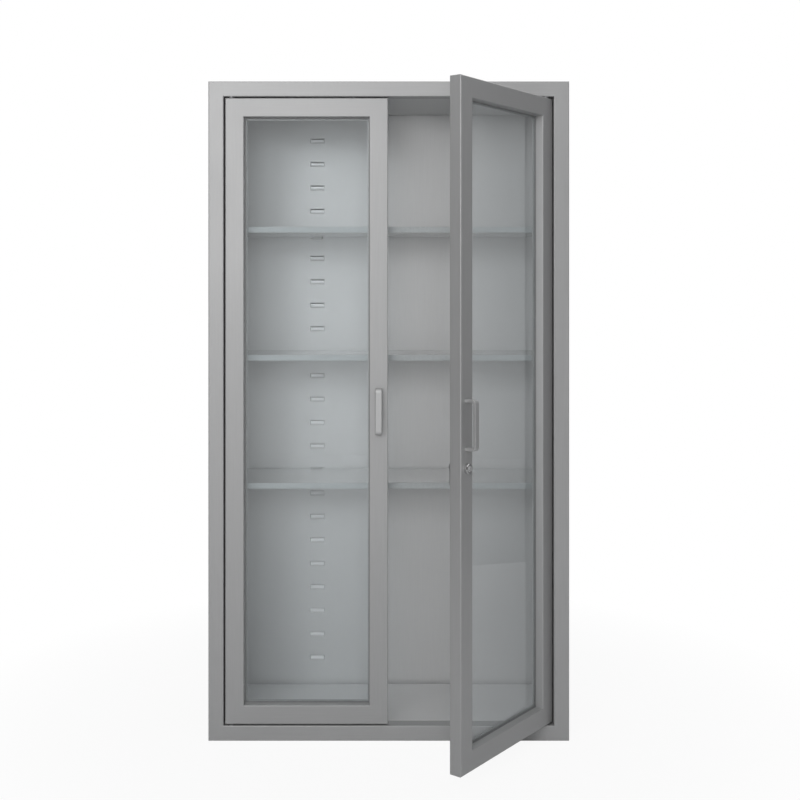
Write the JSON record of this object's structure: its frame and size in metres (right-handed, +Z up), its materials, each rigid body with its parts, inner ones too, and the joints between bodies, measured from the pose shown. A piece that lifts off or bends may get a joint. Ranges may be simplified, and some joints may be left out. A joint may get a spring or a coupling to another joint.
{
  "type": "instrument cabinet",
  "caption": "Tall free-standing steel cabinet with glazed hinged doors, bow handles, a cam lock and thick glass shelves on clips in recessed walls.",
  "frame": {"origin": "middle of the cabinet's base, on the floor", "axes": "+Z up, the doors face -Y, +X to the right of someone facing the doors"},
  "size_m": [0.9, 0.6604, 1.645],
  "materials": {
    "frame_steel": "satin",
    "door_steel": "satin",
    "shell_steel": "satin",
    "liner_steel": "satin",
    "handle_steel": "polished",
    "lock_chrome": "polished",
    "hardware_steel": "plain",
    "door_glass": "clear",
    "shelf_glass": "polished edges",
    "rubber": "matte",
    "bush_plastic": "matte"
  },
  "bodies": {
    "cabinet": {"outer_left_side": "shell_steel", "outer_right_side": "shell_steel", "outer_top": "shell_steel", "outer_base": "shell_steel", "outer_back": "shell_steel", "frame_left_stile": "frame_steel", "frame_right_stile": "frame_steel", "frame_top_rail": "frame_steel", "frame_bottom_rail": "frame_steel", "liner_left": "liner_steel", "liner_right": "liner_steel", "liner_ceiling": "liner_steel", "liner_floor": "liner_steel", "liner_back": "liner_steel", "jamb_left": "liner_steel", "jamb_right": "liner_steel", "jamb_buffers": "rubber", "upper_shelf": "shelf_glass", "middle_shelf": "shelf_glass", "lower_shelf": "shelf_glass", "upper_shelf_clips": "hardware_steel", "middle_shelf_clips": "hardware_steel", "lower_shelf_clips": "hardware_steel", "shelf_pads": "rubber", "left_pivot_pins": "hardware_steel", "right_pivot_pins": "hardware_steel", "bolt_keepers": "hardware_steel"},
    "left_door": {"left_door_hinge_stile": "door_steel", "left_door_lock_stile": "door_steel", "left_door_top_rail": "door_steel", "left_door_bottom_rail": "door_steel", "left_door_glass": "door_glass", "left_door_gasket": "rubber", "left_door_beads": "door_steel", "left_door_pivot_bushes": "bush_plastic", "left_door_handle": "handle_steel", "left_door_handle_screws": "hardware_steel", "left_door_bolt_guides": "hardware_steel", "left_door_lock_strike": "hardware_steel"},
    "right_door": {"right_door_hinge_stile": "door_steel", "right_door_lock_stile": "door_steel", "right_door_top_rail": "door_steel", "right_door_bottom_rail": "door_steel", "right_door_glass": "door_glass", "right_door_gasket": "rubber", "right_door_beads": "door_steel", "right_door_pivot_bushes": "bush_plastic", "right_door_handle": "handle_steel", "right_door_handle_screws": "hardware_steel", "right_door_lock_barrel": "lock_chrome", "right_door_lock_nut": "hardware_steel"},
    "lock_core": {"lock_plug": "lock_chrome", "lock_cam": "hardware_steel", "lock_cam_screw": "hardware_steel"},
    "upper_bolt": {"upper_bolt": "hardware_steel"},
    "lower_bolt": {"lower_bolt": "hardware_steel"}
  },
  "joints": [
    {"name": "left_door_hinge", "type": "hinge", "parent": "cabinet", "child": "left_door", "pos_m": [-0.393, -0.1645, 0.8225], "axis": [0, 0, -1], "range_deg": [0, 105]},
    {"name": "right_door_hinge", "type": "hinge", "parent": "cabinet", "child": "right_door", "pos_m": [0.393, -0.1645, 0.8225], "axis": [0, 0, 1], "range_deg": [-52.5, 52.5]},
    {"name": "lock_turn", "type": "hinge", "parent": "right_door", "child": "lock_core", "pos_m": [0.17746, -0.46265, 0.725], "axis": [-0.7934, 0.6088, 0], "range_deg": [0, 90]},
    {"name": "upper_bolt_slide", "type": "slide", "parent": "left_door", "child": "upper_bolt", "axis": [0, 0, 1], "range_m": [0, 0.014]},
    {"name": "lower_bolt_slide", "type": "slide", "parent": "left_door", "child": "lower_bolt", "axis": [0, 0, -1], "range_m": [0, 0.014]}
  ]
}
